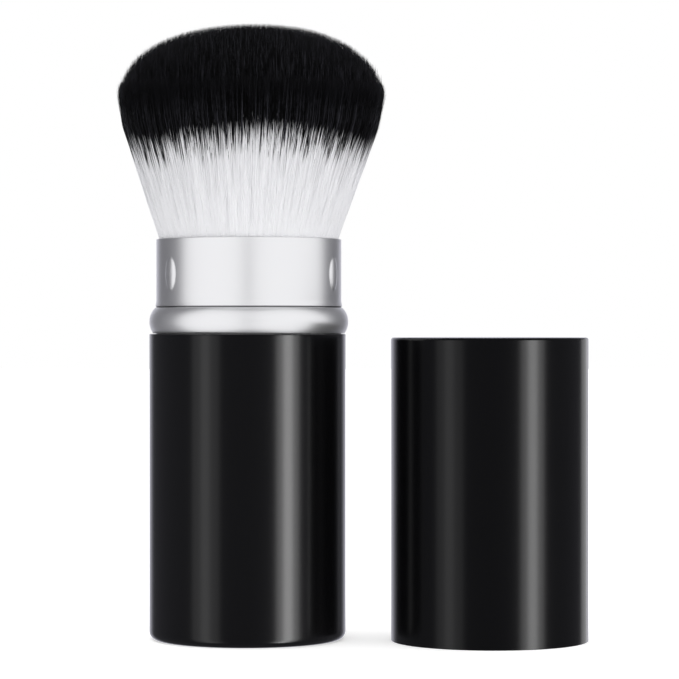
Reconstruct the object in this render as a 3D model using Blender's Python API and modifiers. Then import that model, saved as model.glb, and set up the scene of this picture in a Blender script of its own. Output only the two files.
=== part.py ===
"""Retractable makeup brush, standing open beside its pull-off cap.

The hair head stands on a post inside the black base. A silver sleeve slides up over the hair and gathers
it, so that the cap can be pushed on. Metres, +Z up, origin at the centre of the base's underside.
"""

import math

import bmesh
import bpy

MM = 0.001

# Fits: faces that are glued or rest on each other, faces that slide, and the overrun of every cutter
SEAT_GAP = 0.3 * MM
SLIDE_GAP = 0.35 * MM
CUT_OVERRUN = 1.0 * MM

# Base shell, a deep-drawn cup
SHELL_RADIUS = 16.5 * MM
SHELL_HEIGHT = 51.3 * MM
SHELL_WALL = 0.6 * MM
SHELL_FLOOR = 0.8 * MM
SHELL_FOOT_ROUND = 1.4 * MM
SHELL_LIP_ROUND = 0.15 * MM

# Post, a moulding with a skirted foot, two click grooves and a blind bore in its head
POST_RADIUS = 8.5 * MM
POST_WALL = 1.4 * MM
POST_CROWN = 12.0 * MM
POST_CHAMFER = 0.5 * MM
FOOT_HEIGHT = 5.3 * MM
FOOT_WEB = 1.6 * MM
FOOT_SKIRT_WALL = 1.2 * MM
FOOT_FILLET = 0.2 * MM
GROOVE_DEPTH = 0.35 * MM
GROOVE_HALF_HEIGHT = 0.6 * MM

# Sleeve, a thin tube with a rolled ridge and three embossed bumps that grip the cap
SLEEVE_WALL = 0.45 * MM
SLEEVE_SHOWN = 15.9 * MM
SLEEVE_RIM_ROUND = 0.14 * MM
RIDGE_HEIGHT = 0.22 * MM
RIDGE_HALF_LENGTH = 0.4 * MM
BUMP_HEIGHT = 0.32 * MM
BUMP_HALF_WIDTH = 1.7 * MM
BUMP_HALF_LENGTH = 2.6 * MM
BUMP_INNER_SHARE = 0.75
BUMP_COUNT = 3
BUMP_FIRST_ANGLE = math.radians(-146.0)

# Collar, the crowned ring under the sleeve's ridge
COLLAR_HEIGHT = 3.75 * MM
COLLAR_PROUD = 0.22 * MM
COLLAR_CROWN_RADIUS = 3.9 * MM
COLLAR_WIDEST_SHARE = 0.44

# Slide bush, the moulding in the sleeve's foot that runs on the post with sprung fingers
BUSH_WEB = 1.0 * MM
BUSH_SKIRT_WALL = 1.2 * MM
BUSH_SKIRT_HEIGHT = 9.0 * MM
BUSH_HUB_WALL = 1.2 * MM
BUSH_HUB_HEIGHT = 5.3 * MM
FINGER_COUNT = 6
FINGER_SLOT = 1.2 * MM
FINGER_ROOT = 0.6 * MM
FINGER_BEAD = 0.15 * MM
FINGER_BEAD_HALF_HEIGHT = 0.4 * MM
FINGER_BEAD_DROP = 1.8 * MM

# Head cup, drawn aluminium, with the plug that joins it to the post and the glue that holds the hair
CUP_SUNK = 9.9 * MM
CUP_HEIGHT = 9.0 * MM
CUP_WALL = 0.5 * MM
CUP_FLOOR = 0.6 * MM
CUP_ROUND = 1.0 * MM
CUP_SIDE_GAP = 2.4 * MM
PLUG_THICKNESS = 1.2 * MM
STEM_RADIUS = 3.0 * MM
STEM_LENGTH = 9.0 * MM
POTTING_THICKNESS = 2.0 * MM

# Hair head: rings of strands on a backing, as two bodies, one inside the other
BACKING_THICKNESS = 1.0 * MM
STRAND_ROOT_DEPTH = 0.4 * MM
HEAD_RADIUS = 22.7 * MM
HEAD_HEIGHT = 35.8 * MM
HEAD_WIDEST_RISE = 22.7 * MM
STRAND_TIP_TAPER = 6.0 * MM
INNER_RINGS = 7
OUTER_RINGS = 4
STRANDS_PER_TURN = 6
OUTER_COUNT_SHARE = 0.93
STRAND_SIDES = 3
STRAND_WIDTH_SHARE = 0.37
GROUP_STEP_SHARE = 1.45
OUTER_TIP_SHARE = 0.985
FLARE_POWER = 1.15
DOME_POWER = 2.3
RING_TURN = math.radians(137.5)

# Cap, a plain deep-drawn shell that stands mouth down beside the brush
CAP_HEIGHT = 50.7 * MM
CAP_WALL = 0.6 * MM
CAP_TOP = 0.7 * MM
CAP_ROUND = 0.4 * MM
CAP_MOUTH_CHAMFER = 0.2 * MM
CAP_STAND_GAP = 1.3 * MM
CAP_STAND_FORWARD = 4.0 * MM

# Facets round a turned piece that shows, round one that is hidden, and along small roundings
SHOWN_STEPS = 64
HIDDEN_STEPS = 32
ROUND_STEPS = 4
CROWN_STEPS = 9
BUMP_SEGMENTS = 14
BUMP_RINGS = 8
MERGE_DISTANCE = 0.001 * MM

# Radii that follow from the sizes above
shell_bore = SHELL_RADIUS - SHELL_WALL
shell_inner_round = max(SHELL_FOOT_ROUND - SHELL_WALL, SHELL_LIP_ROUND)
foot_radius = shell_bore - SEAT_GAP
sleeve_radius = shell_bore - SLIDE_GAP
sleeve_bore = sleeve_radius - SLEEVE_WALL
stem_bore = STEM_RADIUS + SEAT_GAP
bush_bore = POST_RADIUS + SEAT_GAP
bush_hub_radius = bush_bore + BUSH_HUB_WALL
bush_skirt_radius = sleeve_bore - SEAT_GAP
cup_radius = sleeve_bore - CUP_SIDE_GAP
cup_bore = cup_radius - CUP_WALL
cup_fill_radius = cup_bore - SEAT_GAP
cap_bore = SHELL_RADIUS - CAP_WALL

# Heights, from the floor up
foot_bottom = SHELL_FLOOR + SEAT_GAP
foot_top = foot_bottom + FOOT_HEIGHT
bush_bottom = foot_top + SEAT_GAP
web_top = bush_bottom + BUSH_WEB
hub_top = bush_bottom + BUSH_HUB_HEIGHT
finger_bead_height = hub_top - FINGER_BEAD_DROP
sleeve_bottom = web_top + SEAT_GAP
sleeve_top = SHELL_HEIGHT + SLEEVE_SHOWN
collar_bottom = SHELL_HEIGHT + SEAT_GAP
collar_top = collar_bottom + COLLAR_HEIGHT
ridge_bottom = collar_top + SEAT_GAP
bump_height = (collar_top + sleeve_top) / 2
cup_top = sleeve_top - CUP_SUNK
cup_bottom = cup_top - CUP_HEIGHT
post_top = cup_bottom - SEAT_GAP
stem_bottom = post_top - STEM_LENGTH
plug_bottom = cup_bottom + CUP_FLOOR + SEAT_GAP
plug_top = plug_bottom + PLUG_THICKNESS
potting_bottom = plug_top + SEAT_GAP
potting_top = potting_bottom + POTTING_THICKNESS
backing_bottom = potting_top + SEAT_GAP
backing_top = backing_bottom + BACKING_THICKNESS
root_height = backing_top - STRAND_ROOT_DEPTH
widest_height = sleeve_top + HEAD_WIDEST_RISE

# The hub rises until it meets the cup's floor
sleeve_travel = cup_bottom - SEAT_GAP - hub_top

# The bundle of hair fans out from its backing, just clear of the cup's lip and of the sleeve's rim
rim_hair_radius = sleeve_bore - SEAT_GAP
fan_slope = (rim_hair_radius - cup_fill_radius) / (sleeve_top - cup_top)
root_hair_radius = cup_fill_radius - fan_slope * (cup_top - root_height)
ring_steps = INNER_RINGS + GROUP_STEP_SHARE + OUTER_RINGS - 1
ring_pitch = root_hair_radius / (ring_steps + STRAND_WIDTH_SHARE)
strand_width = STRAND_WIDTH_SHARE * ring_pitch
backing_split = ring_pitch * (INNER_RINGS + GROUP_STEP_SHARE / 2)


def clear_scene():
    """Removes what the file opened with."""
    for old in list(bpy.data.objects):
        bpy.data.objects.remove(old)


def new_collection(name):
    """An empty collection in the scene."""
    collection = bpy.data.collections.new(name)
    bpy.context.scene.collection.children.link(collection)
    return collection


def axis_empty(name, place, collection):
    """The parent of a body's pieces, on its joint's axis."""
    empty = bpy.data.objects.new(name, None)
    empty.location = place
    collection.objects.link(empty)
    return empty


def finish(name, colour, roughness, metallic):
    """A Principled material."""
    material = bpy.data.materials.new(name)
    material.use_nodes = True
    shader = material.node_tree.nodes["Principled BSDF"]
    shader.inputs["Base Color"].default_value = (*colour, 1.0)
    shader.inputs["Roughness"].default_value = roughness
    shader.inputs["Metallic"].default_value = metallic
    return material


def arc(centre_r, centre_z, radius, start_degrees, end_degrees, steps=ROUND_STEPS):
    """Points (r, z) along an arc, ends included."""
    points = []
    for step in range(steps + 1):
        angle = math.radians(start_degrees + (end_degrees - start_degrees) * step / steps)
        points.append((centre_r + radius * math.cos(angle), centre_z + radius * math.sin(angle)))
    return points


def turned(name, outline, material, parent, collection, steps):
    """A piece turned about Z from (r, z) points that run down its outer side.

    An outline that starts and ends on the axis stays open there, and any other is closed.
    """
    mesh = bpy.data.meshes.new(name)
    edges = [(index, index + 1) for index in range(len(outline) - 1)]
    if outline[0][0] > 0 or outline[-1][0] > 0:
        edges.append((len(outline) - 1, 0))
    mesh.from_pydata([(r, 0.0, z) for r, z in outline], edges, [])
    mesh.materials.append(material)
    piece = bpy.data.objects.new(name, mesh)
    collection.objects.link(piece)
    piece.parent = parent
    screw = piece.modifiers.new("turn", "SCREW")
    screw.steps = steps
    screw.render_steps = steps
    screw.use_merge_vertices = True
    screw.merge_threshold = MERGE_DISTANCE
    screw.use_smooth_shade = True
    return piece


def helper(name, mesh, collection, parent=None):
    """A solid that cuts a piece or joins it, and isn't a piece itself."""
    solid = bpy.data.objects.new(name, mesh)
    collection.objects.link(solid)
    solid.parent = parent
    solid.hide_render = True
    solid.display_type = "WIRE"
    return solid


def boolean(piece, solid, operation):
    """Cuts or joins a piece with a helper solid."""
    modifier = piece.modifiers.new(solid.name, "BOOLEAN")
    modifier.operation = operation
    modifier.object = solid


def spoke_place(turn, away, across, height):
    """A point at a distance along a spoke, beside it, and up."""
    x = math.cos(turn) * away - math.sin(turn) * across
    y = math.sin(turn) * away + math.cos(turn) * across
    return (x, y, height)


def shell_outline():
    """Base shell: the floor, up the bore, over the lip, down the outside and across the underside."""
    lip_height = SHELL_HEIGHT - SHELL_LIP_ROUND
    outline = [(0.0, SHELL_FLOOR)]
    corner = shell_inner_round
    outline += arc(shell_bore - corner, SHELL_FLOOR + corner, corner, -90, 0, 2)
    outline += [(shell_bore, lip_height), (shell_bore + SHELL_LIP_ROUND, SHELL_HEIGHT)]
    outline += arc(SHELL_RADIUS - SHELL_LIP_ROUND, lip_height, SHELL_LIP_ROUND, 90, 0, 2)
    outline += arc(SHELL_RADIUS - SHELL_FOOT_ROUND, SHELL_FOOT_ROUND, SHELL_FOOT_ROUND, 0, -90)
    return outline + [(0.0, 0.0)]


def post_outline():
    """Post: the stem's blind bore, the grooved outside, the foot's web and skirt, and the hollow below."""
    groove_floor = POST_RADIUS - GROOVE_DEPTH
    bore_floor = stem_bottom - SEAT_GAP
    web_bottom = foot_top - FOOT_WEB
    hollow = POST_RADIUS - POST_WALL
    skirt_bore = foot_radius - FOOT_SKIRT_WALL
    outline = [(0.0, bore_floor), (stem_bore, bore_floor), (stem_bore, post_top)]
    outline += [(POST_RADIUS - POST_CHAMFER, post_top), (POST_RADIUS, post_top - POST_CHAMFER)]
    for groove in (finger_bead_height + sleeve_travel, finger_bead_height):
        outline += [(POST_RADIUS, groove + GROOVE_HALF_HEIGHT), (groove_floor, groove)]
        outline += [(POST_RADIUS, groove - GROOVE_HALF_HEIGHT)]
    outline += [(POST_RADIUS, foot_top + FOOT_FILLET), (POST_RADIUS + FOOT_FILLET, foot_top)]
    outline += [(foot_radius, foot_top), (foot_radius, foot_bottom + shell_inner_round)]
    outline += [(foot_radius - shell_inner_round, foot_bottom), (skirt_bore, foot_bottom)]
    outline += [(skirt_bore, web_bottom), (POST_RADIUS, web_bottom), (POST_RADIUS, foot_bottom)]
    outline += [(hollow, foot_bottom), (hollow, post_top - POST_CROWN), (0.0, post_top - POST_CROWN)]
    return outline


def sleeve_outline():
    """Sleeve tube: a rounded rim, a plain wall that swells into the ridge, and a plain foot."""
    ridge_middle = ridge_bottom + RIDGE_HALF_LENGTH
    ridge_top = ridge_middle + RIDGE_HALF_LENGTH * 2
    rim = sleeve_top - SLEEVE_RIM_ROUND
    outline = arc(sleeve_radius - SLEEVE_RIM_ROUND, rim, SLEEVE_RIM_ROUND, 90, 0, 2)
    outline += [(sleeve_radius, ridge_top), (sleeve_radius + RIDGE_HEIGHT, ridge_middle)]
    outline += [(sleeve_radius + RIDGE_HEIGHT, ridge_middle - RIDGE_HALF_LENGTH / 2)]
    outline += [(sleeve_radius, ridge_bottom)]
    outline += [(sleeve_radius, sleeve_bottom), (sleeve_bore, sleeve_bottom)]
    outline += [(sleeve_bore, ridge_bottom), (sleeve_bore + RIDGE_HEIGHT, ridge_middle)]
    outline += [(sleeve_bore, ridge_top)]
    return outline + [(sleeve_bore, rim), (sleeve_bore + SLEEVE_RIM_ROUND, sleeve_top)]


def bumps(name, radius, share, collection, parent):
    """Ellipsoids round the tube, half way up the part of the sleeve that shows."""
    mesh = bpy.data.meshes.new(name)
    shape = bmesh.new()
    for index in range(BUMP_COUNT):
        turn = BUMP_FIRST_ANGLE + 2 * math.pi * index / BUMP_COUNT
        made = bmesh.ops.create_uvsphere(shape, u_segments=BUMP_SEGMENTS, v_segments=BUMP_RINGS, radius=1.0)
        for vertex in made["verts"]:
            x, y, z = vertex.co * share
            across, height = BUMP_HALF_WIDTH * y, bump_height + BUMP_HALF_LENGTH * z
            vertex.co = spoke_place(turn, radius + BUMP_HEIGHT * x, across, height)
    shape.to_mesh(mesh)
    shape.free()
    mesh.shade_smooth()
    return helper(name, mesh, collection, parent)


def collar_outline():
    """Collar: a crowned outer face on a plain ring."""
    inner = sleeve_radius + SEAT_GAP
    crown_centre = SHELL_RADIUS + COLLAR_PROUD - COLLAR_CROWN_RADIUS
    widest = collar_bottom + COLLAR_HEIGHT * COLLAR_WIDEST_SHARE
    top = math.degrees(math.asin(min((collar_top - widest) / COLLAR_CROWN_RADIUS, 1.0)))
    bottom = -math.degrees(math.asin(min((widest - collar_bottom) / COLLAR_CROWN_RADIUS, 1.0)))
    outline = arc(crown_centre, widest, COLLAR_CROWN_RADIUS, top, bottom, CROWN_STEPS)
    return outline + [(inner, collar_bottom), (inner, collar_top)]


def bush_outline():
    """Slide bush: a skirt glued inside the tube, a flange under its end, a web and a hub on the post."""
    skirt_bore = bush_skirt_radius - BUSH_SKIRT_WALL
    skirt_top = web_top + BUSH_SKIRT_HEIGHT
    outline = [(bush_skirt_radius, skirt_top), (bush_skirt_radius, web_top), (sleeve_radius, web_top)]
    outline += [(sleeve_radius, bush_bottom), (bush_bore, bush_bottom)]
    outline += [(bush_bore, finger_bead_height - FINGER_BEAD_HALF_HEIGHT)]
    outline += [(bush_bore - FINGER_BEAD, finger_bead_height)]
    outline += [(bush_bore, finger_bead_height + FINGER_BEAD_HALF_HEIGHT), (bush_bore, hub_top)]
    outline += [(bush_hub_radius, hub_top), (bush_hub_radius, web_top)]
    return outline + [(skirt_bore, web_top), (skirt_bore, skirt_top)]


def finger_slots(collection, parent):
    """Boxes that slot the hub into sprung fingers."""
    mesh = bpy.data.meshes.new("finger_slots")
    shape = bmesh.new()
    inner = bush_bore - FINGER_BEAD - CUT_OVERRUN
    outer = bush_hub_radius + CUT_OVERRUN
    bottom = web_top + FINGER_ROOT
    top = hub_top + CUT_OVERRUN
    for index in range(FINGER_COUNT):
        turn = 2 * math.pi * (index + 0.5) / FINGER_COUNT
        for vertex in bmesh.ops.create_cube(shape, size=1.0)["verts"]:
            x, y, z = vertex.co
            away = (inner + outer) / 2 + (outer - inner) * x
            height = (bottom + top) / 2 + (top - bottom) * z
            vertex.co = spoke_place(turn, away, FINGER_SLOT * y, height)
    shape.to_mesh(mesh)
    shape.free()
    return helper("finger_slots", mesh, collection, parent)


def cup_outline():
    """Head cup: a drawn cup with a hole in its floor for the plug's stem."""
    floor = cup_bottom + CUP_FLOOR
    inner_round = max(CUP_ROUND - CUP_WALL, 0.0)
    outline = [(cup_radius, cup_top)]
    outline += arc(cup_radius - CUP_ROUND, cup_bottom + CUP_ROUND, CUP_ROUND, 0, -90, 3)
    outline += [(stem_bore, cup_bottom), (stem_bore, floor)]
    return outline + [(cup_bore - inner_round, floor), (cup_bore, floor + inner_round), (cup_bore, cup_top)]


def plug_outline():
    """Plug: a disc in the cup, with a stem that goes down into the post."""
    disc_radius = cup_fill_radius - max(CUP_ROUND - CUP_WALL, 0.0)
    outline = [(0.0, plug_top), (disc_radius, plug_top), (disc_radius, plug_bottom)]
    return outline + [(STEM_RADIUS, plug_bottom), (STEM_RADIUS, stem_bottom), (0.0, stem_bottom)]


def potting_outline():
    """Potting: the set glue between the plug and the hair's backing."""
    outline = [(0.0, potting_top), (cup_fill_radius, potting_top)]
    return outline + [(cup_fill_radius, potting_bottom), (0.0, potting_bottom)]


def cap_outline():
    """Cap: across the closed top, down the outside, round the mouth, up the bore and across the inside."""
    ceiling = CAP_HEIGHT - CAP_TOP
    outline = [(0.0, CAP_HEIGHT)]
    outline += arc(SHELL_RADIUS - CAP_ROUND, CAP_HEIGHT - CAP_ROUND, CAP_ROUND, 90, 0, 3)
    outline += [(SHELL_RADIUS, 0.0), (cap_bore + CAP_MOUTH_CHAMFER, 0.0), (cap_bore, CAP_MOUTH_CHAMFER)]
    outline += arc(cap_bore - CAP_ROUND, ceiling - CAP_ROUND, CAP_ROUND, 0, 90, 2)
    return outline + [(0.0, ceiling)]


def bundle_radius(height):
    """Radius of the hair at a height: straight to the sleeve's rim, then easing out to its widest."""
    if height <= sleeve_top:
        return rim_hair_radius - fan_slope * (sleeve_top - height)
    rise = min((height - sleeve_top) / HEAD_WIDEST_RISE, 1.0)
    return rim_hair_radius + (HEAD_RADIUS - rim_hair_radius) * (1 - (1 - rise) ** FLARE_POWER)


def tip_height(share):
    """Height of the domed tips at a share of the head's radius."""
    fall = (1 - (share * OUTER_TIP_SHARE) ** DOME_POWER) ** (1 / DOME_POWER)
    return widest_height + (HEAD_HEIGHT - HEAD_WIDEST_RISE) * fall


def inner_rings():
    """Rings of the inner body, as (share of the outermost ring, strands in the ring)."""
    rings = [(0.0, 1)]
    for ring in range(1, INNER_RINGS + 1):
        rings.append((ring / ring_steps, STRANDS_PER_TURN * ring))
    return rings


def outer_rings():
    """Rings of the outer body, past the wider step that parts the two backings."""
    rings = []
    for ring in range(OUTER_RINGS):
        place = INNER_RINGS + GROUP_STEP_SHARE + ring
        rings.append((place / ring_steps, round(STRANDS_PER_TURN * place * OUTER_COUNT_SHARE)))
    return rings


def strand_curves(name, rings, profile, collection):
    """Strands as straight runs: root, sleeve's rim, start of the taper, tip. They widen with the bundle."""
    strands = bpy.data.curves.new(name, "CURVE")
    strands.dimensions = "3D"
    strands.bevel_mode = "OBJECT"
    strands.bevel_object = profile
    strands.use_fill_caps = True
    for ring, (share, count) in enumerate(rings):
        tip = tip_height(share)
        heights = (root_height, sleeve_top, tip - STRAND_TIP_TAPER, tip)
        for index in range(count):
            turn = ring * RING_TURN + 2 * math.pi * index / count
            spline = strands.splines.new("POLY")
            spline.points.add(len(heights) - 1)
            for point, height in zip(spline.points, heights):
                swell = bundle_radius(height) / root_hair_radius
                away = share * (bundle_radius(height) - strand_width * swell)
                point.co = (*spoke_place(turn, away, 0.0, height), 1.0)
                point.radius = swell
            spline.points[-1].radius = 0.0
    curve = bpy.data.objects.new(name, strands)
    collection.objects.link(curve)
    return curve


def strand_profile(collection):
    """The strands' cross-section."""
    profile = bpy.data.curves.new("strand_section", "CURVE")
    profile.dimensions = "2D"
    section = profile.splines.new("POLY")
    section.points.add(STRAND_SIDES - 1)
    for side, point in enumerate(section.points):
        turn = 2 * math.pi * side / STRAND_SIDES
        point.co = (strand_width * math.cos(turn), strand_width * math.sin(turn), 0.0, 1.0)
    section.use_cyclic_u = True
    return helper("strand_section", profile, collection)


def strand_solids(name, rings, collection, parent):
    """One group's strands as closed solids in one mesh, ready to be joined to a backing."""
    profile = strand_profile(collection)
    curve = strand_curves(name, rings, profile, collection)
    bpy.context.view_layer.update()
    mesh = bpy.data.meshes.new_from_object(curve.evaluated_get(bpy.context.evaluated_depsgraph_get()))
    bpy.data.objects.remove(curve)
    bpy.data.objects.remove(profile)
    shape = bmesh.new()
    shape.from_mesh(mesh)
    bmesh.ops.remove_doubles(shape, verts=shape.verts, dist=MERGE_DISTANCE)
    bmesh.ops.recalc_face_normals(shape, faces=shape.faces)
    shape.to_mesh(mesh)
    shape.free()
    return helper(name, mesh, collection, parent)


def inner_backing():
    """Disc that the inner strands grow from."""
    edge = backing_split - SEAT_GAP / 2
    return [(0.0, backing_top), (edge, backing_top), (edge, backing_bottom), (0.0, backing_bottom)]


def outer_backing():
    """Ring round that disc, out to the cup's wall."""
    inner = backing_split + SEAT_GAP / 2
    outline = [(cup_fill_radius, backing_top), (cup_fill_radius, backing_bottom)]
    return outline + [(inner, backing_bottom), (inner, backing_top)]


def build_base(pieces, cutters):
    """The base with its post, and the head that the post carries."""
    black = finish("black_lacquered_aluminium", (0.012, 0.012, 0.013), 0.22, 0.0)
    silver = finish("plain_aluminium", (0.78, 0.78, 0.80), 0.35, 1.0)
    plastic = finish("black_moulding", (0.03, 0.03, 0.032), 0.5, 0.0)
    glue = finish("set_glue", (0.75, 0.68, 0.5), 0.35, 0.0)
    fibre = finish("two_tone_fibre", (0.35, 0.35, 0.36), 0.6, 0.0)
    axis = axis_empty("base_axis", (0.0, 0.0, 0.0), pieces)
    turned("base_shell", shell_outline(), black, axis, pieces, SHOWN_STEPS)
    turned("post", post_outline(), plastic, axis, pieces, HIDDEN_STEPS)
    turned("head_cup", cup_outline(), silver, axis, pieces, HIDDEN_STEPS)
    turned("head_plug", plug_outline(), plastic, axis, pieces, HIDDEN_STEPS)
    turned("potting", potting_outline(), glue, axis, pieces, HIDDEN_STEPS)
    inner = turned("bristles_inner", inner_backing(), fibre, axis, pieces, HIDDEN_STEPS)
    boolean(inner, strand_solids("inner_strands", inner_rings(), cutters, axis), "UNION")
    outer = turned("bristles_outer", outer_backing(), fibre, axis, pieces, HIDDEN_STEPS)
    boolean(outer, strand_solids("outer_strands", outer_rings(), cutters, axis), "UNION")


def build_sleeve(pieces, cutters):
    """The sliding sleeve, with its collar and the bush that guides it."""
    silver = finish("satin_anodised_aluminium", (0.8, 0.8, 0.82), 0.3, 1.0)
    plastic = finish("natural_moulding", (0.6, 0.6, 0.58), 0.45, 0.0)
    axis = axis_empty("sleeve_axis", (0.0, 0.0, 0.0), pieces)
    tube = turned("sleeve_tube", sleeve_outline(), silver, axis, pieces, SHOWN_STEPS)
    boolean(tube, bumps("bumps_raised", sleeve_radius, 1.0, cutters, axis), "UNION")
    boolean(tube, bumps("bumps_pressed", sleeve_bore, BUMP_INNER_SHARE, cutters, axis), "DIFFERENCE")
    turned("bead_collar", collar_outline(), silver, axis, pieces, SHOWN_STEPS)
    bush = turned("slide_bush", bush_outline(), plastic, axis, pieces, HIDDEN_STEPS)
    boolean(bush, finger_slots(cutters, axis), "DIFFERENCE")


def build_cap(pieces):
    """The cap, which stands clear of the widest hair so that it can be lifted straight up."""
    black = finish("black_lacquered_cap", (0.012, 0.012, 0.013), 0.22, 0.0)
    place = (HEAD_RADIUS + CAP_STAND_GAP + SHELL_RADIUS, -CAP_STAND_FORWARD, 0.0)
    axis = axis_empty("cap_axis", place, pieces)
    turned("cap_shell", cap_outline(), black, axis, pieces, SHOWN_STEPS)


def main():
    """Builds the brush and its cap."""
    clear_scene()
    pieces = new_collection("retractable_makeup_brush")
    cutters = new_collection("cutters")
    build_base(pieces, cutters)
    build_sleeve(pieces, cutters)
    build_cap(pieces)
    for piece in pieces.objects:
        if piece.type == "MESH":
            piece.modifiers.new("shading", "WEIGHTED_NORMAL")
    strands = sum(count for share, count in inner_rings() + outer_rings())
    hair_top = tip_height(0.0)
    print(f"sleeve travel {sleeve_travel / MM:.2f} mm, {strands} strands, hair up to {hair_top / MM:.2f} mm")


main()
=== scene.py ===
"""Looks of the retractable makeup brush: black lacquered shells, a satin silver sleeve and two-tone hair.

Every length is in metres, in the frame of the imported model. The brush stands on z = 0 with its axis on Z,
the cap stands beside it, and the camera looks along +Y.
"""

import logging
import math
from collections.abc import Callable, Sequence
from dataclasses import dataclass
from enum import Enum
from functools import cache

import bmesh
import bpy
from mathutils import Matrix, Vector


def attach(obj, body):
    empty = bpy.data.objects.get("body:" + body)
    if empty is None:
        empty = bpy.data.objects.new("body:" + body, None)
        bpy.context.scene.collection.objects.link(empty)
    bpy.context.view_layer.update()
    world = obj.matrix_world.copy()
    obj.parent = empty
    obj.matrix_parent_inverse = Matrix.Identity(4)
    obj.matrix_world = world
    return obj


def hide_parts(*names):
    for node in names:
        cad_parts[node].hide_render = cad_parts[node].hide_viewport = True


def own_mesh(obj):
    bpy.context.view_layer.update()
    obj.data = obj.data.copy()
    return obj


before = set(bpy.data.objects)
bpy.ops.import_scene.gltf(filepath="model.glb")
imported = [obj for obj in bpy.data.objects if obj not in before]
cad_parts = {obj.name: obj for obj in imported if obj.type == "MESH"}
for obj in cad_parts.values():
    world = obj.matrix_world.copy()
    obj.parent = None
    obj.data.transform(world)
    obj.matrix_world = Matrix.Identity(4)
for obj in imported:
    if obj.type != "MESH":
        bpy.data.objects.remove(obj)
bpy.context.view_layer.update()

log = logging.getLogger("makeup_brush")

MM = 0.001
FULL_TURN = 2 * math.pi
SHARP_EDGE = math.radians(50)

# How far the sleeve and the hair stand aside by their play in the base, as in the photograph
PLAY = 0.22 * MM

Point = tuple[float, float]
Place = tuple[float, float, float]
Colour = tuple[float, float, float, float]
Values = Sequence | dict

# Kinds of node that are used often
MATH = "ShaderNodeMath"
VECTOR_MATH = "ShaderNodeVectorMath"
MAP_RANGE = "ShaderNodeMapRange"
NOISE = "ShaderNodeTexNoise"
COORDINATES = "ShaderNodeTexCoord"
SEPARATE = "ShaderNodeSeparateXYZ"
COMBINE = "ShaderNodeCombineXYZ"
ROTATE = "ShaderNodeVectorRotate"


class Body(Enum):
    """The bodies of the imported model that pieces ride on."""

    BASE = "base"
    SLEEVE = "sleeve"
    CAP = "cap"


class Slot(Enum):
    """The record's material slots of the new pieces' finishes."""

    LACQUER = "black_lacquered_aluminium"
    SATIN = "satin_anodised_aluminium"
    FIBRE = "two_tone_fibre"


def linear(code: str) -> Colour:
    """Turns an sRGB hex colour into linear red, green, blue and alpha, by the standard's own numbers.

    Args:
        code: The colour as "#rrggbb".

    Returns:
        The four linear numbers, with an alpha of 1.
    """
    found = []
    for start in (1, 3, 5):
        value = int(code[start : start + 2], 16) / 255
        found.append(value / 12.92 if value <= 0.04045 else ((value + 0.055) / 1.055) ** 2.4)
    return (*found, 1.0)


WHITE = linear("#ffffff")


def add_node(
    tree: bpy.types.NodeTree, kind: str, values: Values = (), **settings: object
) -> bpy.types.Node:
    """Adds a node with its settings, values and links.

    Args:
        tree: The tree that the node goes in.
        kind: The node's type name.
        values: What goes into its inputs, in order or by name. A node gives its first output.
        settings: The node's own properties.

    Returns:
        The new node.
    """
    made = tree.nodes.new(kind)
    for name, value in settings.items():
        setattr(made, name, value)
    pairs = values.items() if isinstance(values, dict) else enumerate(values)
    for key, value in pairs:
        if isinstance(value, bpy.types.Node):
            value = value.outputs[0]
        if isinstance(value, bpy.types.NodeSocket):
            tree.links.new(value, made.inputs[key])
        else:
            made.inputs[key].default_value = value
    return made


def work_out(tree: bpy.types.NodeTree, operation: str, *values: object) -> bpy.types.Node:
    """A new math node, which works out its operation on its values in order."""
    return add_node(tree, MATH, values, operation=operation)


# Finishes


@dataclass(frozen=True)
class Finish:
    """What every finish shares: its name, its colour and how rough it is."""

    name: str
    colour: str
    roughness: float

    def start(self) -> tuple[bpy.types.Material, bpy.types.NodeTree, bpy.types.Node]:
        """Starts the material.

        Returns:
            The material, its tree and its shader, which has the constant values set.
        """
        material = bpy.data.materials.new(self.name)
        material.use_nodes = True
        shader = material.node_tree.nodes["Principled BSDF"]
        shader.inputs["Base Color"].default_value = linear(self.colour)
        shader.inputs["Roughness"].default_value = self.roughness
        return material, material.node_tree, shader

    def build(self) -> bpy.types.Material:
        """The material, plain unless a kind of finish adds to it."""
        return self.start()[0]

    def noise(self, tree: bpy.types.NodeTree, size: float, detail: float) -> bpy.types.Node:
        """A noise fixed to the piece, with swells of that size and that many finer layers."""
        place = add_node(tree, COORDINATES).outputs["Object"]
        return add_node(tree, NOISE, {"Vector": place, "Scale": 1 / size, "Detail": detail})

    def add_relief(
        self,
        tree: bpy.types.NodeTree,
        shader: bpy.types.Node,
        size: float,
        depth: float,
        detail: float = 2.0,
    ) -> None:
        """Gives the surface a fine relief of that depth, with swells of that size."""
        values = {"Strength": 1.0, "Distance": depth, "Height": self.noise(tree, size, detail)}
        tree.links.new(add_node(tree, "ShaderNodeBump", values).outputs[0], shader.inputs["Normal"])

    def vary_gloss(
        self,
        tree: bpy.types.NodeTree,
        shader: bpy.types.Node,
        size: float,
        spread: float,
        detail: float = 2.0,
    ) -> None:
        """Lets the roughness wander a little over the surface.

        Args:
            tree: The material's tree.
            shader: Its shader.
            size: How large the clouds of gloss are.
            spread: How far the roughness goes to either side.
            detail: How many finer layers the clouds have.
        """
        values = {"Value": self.noise(tree, size, detail)}
        values |= {"To Min": self.roughness - spread, "To Max": self.roughness + spread}
        tree.links.new(add_node(tree, MAP_RANGE, values).outputs[0], shader.inputs["Roughness"])


# The pieces of each finish, for the lights that are set for it
pieces_of: dict[Finish, list[bpy.types.Object]] = {}


@cache
def material_of(finish: Finish) -> bpy.types.Material:
    """The one material of a finish, built the first time that it is asked for."""
    return finish.build()


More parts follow.
